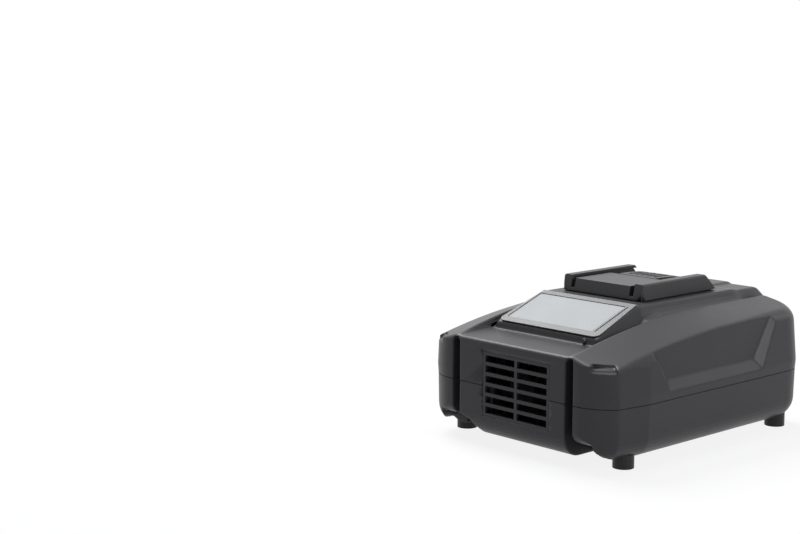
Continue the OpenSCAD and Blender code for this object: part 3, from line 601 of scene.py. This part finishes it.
# ---- battery dock ----
# One plastic moulding with two undercut rails and a stop block, screwed on from inside the
# housing. It stands on a foot that is a little smaller, which leaves a thin gap at the deck.
dock_plastic = moulded("dock_plastic", (0.042, 0.042, 0.045), 0.42, shine=0.25)
dock = eased("battery_dock", 0.5)
dock_low, dock_high = [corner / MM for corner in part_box("battery_dock")]
left, right, fore, rear = dock_low.x, dock_high.x, dock_low.y, dock_high.y
gap_in = 1.1
gap = join(block(left - 1, right + 1, fore - 1, rear + 1, deck_z - 0.3, deck_z + 0.8),
           block(left + gap_in, right - gap_in, fore + gap_in, rear - gap_in, 0, above),
           operation="DIFFERENCE")
join(dock, gap, operation="DIFFERENCE")
place(dock, "dock", dock_plastic, "dock_plastic", "battery_dock")


# ---- contacts ----
# A ribbed moulding between the rails holds tinned brass blades, which are soldered to a small
# board below it. The steel screws of the dock go in from below beside them.
def metal(name, colour, roughness):
    """Bare or plated metal with fine drawing marks."""
    material = bpy.data.materials.new(name)
    tree = fresh(material)
    spot = tree.node("TexCoord", output="Object")
    stretched = tree.node("Mapping", inputs={"Vector": spot, "Scale": (400.0, 400.0, 4000.0)})
    marks = tree.node("TexNoise", inputs={"Vector": stretched, "Scale": 1.0, "Detail": 3.0})
    bump = tree.node("Bump", inputs={"Height": marks, "Distance": 0.000004, "Strength": 0.6})
    skin = tree.node("BsdfPrincipled", inputs={
        "Base Color": between(tree, marks, [0.85 * c for c in colour], colour),
        "Metallic": 1.0, "Roughness": (marks - 0.5) * 0.15 + roughness, "Normal": bump})
    tree.node("OutputMaterial", inputs={"Surface": skin})
    return material


def finish(material, *nodes):
    """Puts a finish on CAD nodes that keep their shape."""
    for node in nodes:
        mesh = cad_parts[node].data
        mesh.materials.clear()
        mesh.materials.append(material)


place(eased("contact_block", 0.4), "contact_carrier", dock_plastic, "dock_plastic", "contact_block")
contact_metal = metal("contact_metal", (0.75, 0.68, 0.5), 0.3)
solder_mask = moulded("board", (0.02, 0.1, 0.05), 0.3, grain=0.0008)
screw_steel = metal("screw_steel", (0.6, 0.6, 0.62), 0.35)
finish(contact_metal, "contact_blades")
finish(solder_mask, "contact_board")
finish(screw_steel, "dock_screws")

# ---- feet, cord bush and case screws ----
# Four rubber feet are pressed into the underside, and a rubber bush guards the cord's hole in
# the rear wall. Four plated screws close the housing from below.
foot_rubber = moulded("foot_rubber", (0.01, 0.01, 0.011), 0.45, shine=0.3)
finish(foot_rubber, "foot_front_left", "foot_front_right", "foot_rear_left", "foot_rear_right",
       "cord_gland")
finish(screw_steel, "case_screws")

# ---- circuit board ----
# A green glass-fibre board on four screws, with the mains filter, the wound ferrite
# transformer and the capacitors in their sleeves soldered to it.
finish(solder_mask, "circuit_board")
finish(screw_steel, "board_screws")
finish(moulded("fuse_glass", (0.6, 0.6, 0.58), 0.25), "fuse")
finish(moulded("winding_coil", (0.4, 0.17, 0.05), 0.35), "filter_choke")
finish(moulded("film_yellow", (0.62, 0.4, 0.06), 0.4), "film_capacitor")
finish(moulded("capacitor_sleeve", (0.03, 0.05, 0.14), 0.35), "bulk_capacitor")
finish(moulded("capacitor_sleeve_small", (0.03, 0.05, 0.14), 0.35), "output_capacitors")
finish(moulded("ferrite", (0.06, 0.06, 0.065), 0.6), "transformer_core")
finish(moulded("winding", (0.5, 0.4, 0.08), 0.4), "transformer_winding")

# ---- heat sinks ----
# Two extruded aluminium sinks stand on the circuit board, and the power transistors are
# fixed flat to them.
finish(metal("heat_sink", (0.7, 0.71, 0.73), 0.4), "primary_heat_sink", "output_heat_sink")
finish(moulded("transistor", (0.02, 0.02, 0.02), 0.5), "power_transistors")

# ---- fan ----
# A square black plastic frame sits in a cradle behind the grille, held down by ribs of the upper
# half. It carries the bearing in which the bladed rotor turns.
# The fan's plastic is black, and its colour and sheen are taken down further still as painted
# shade, so that the slots of the grille read as the dark inside of the housing.
finish(moulded("fan_frame_black_and_painted_shade", (0.004, 0.004, 0.005), 0.8, shine=0.04), "fan_frame")
finish(moulded("fan_rotor_black_and_painted_shade", (0.006, 0.006, 0.007), 0.7, shine=0.06), "fan_rotor")
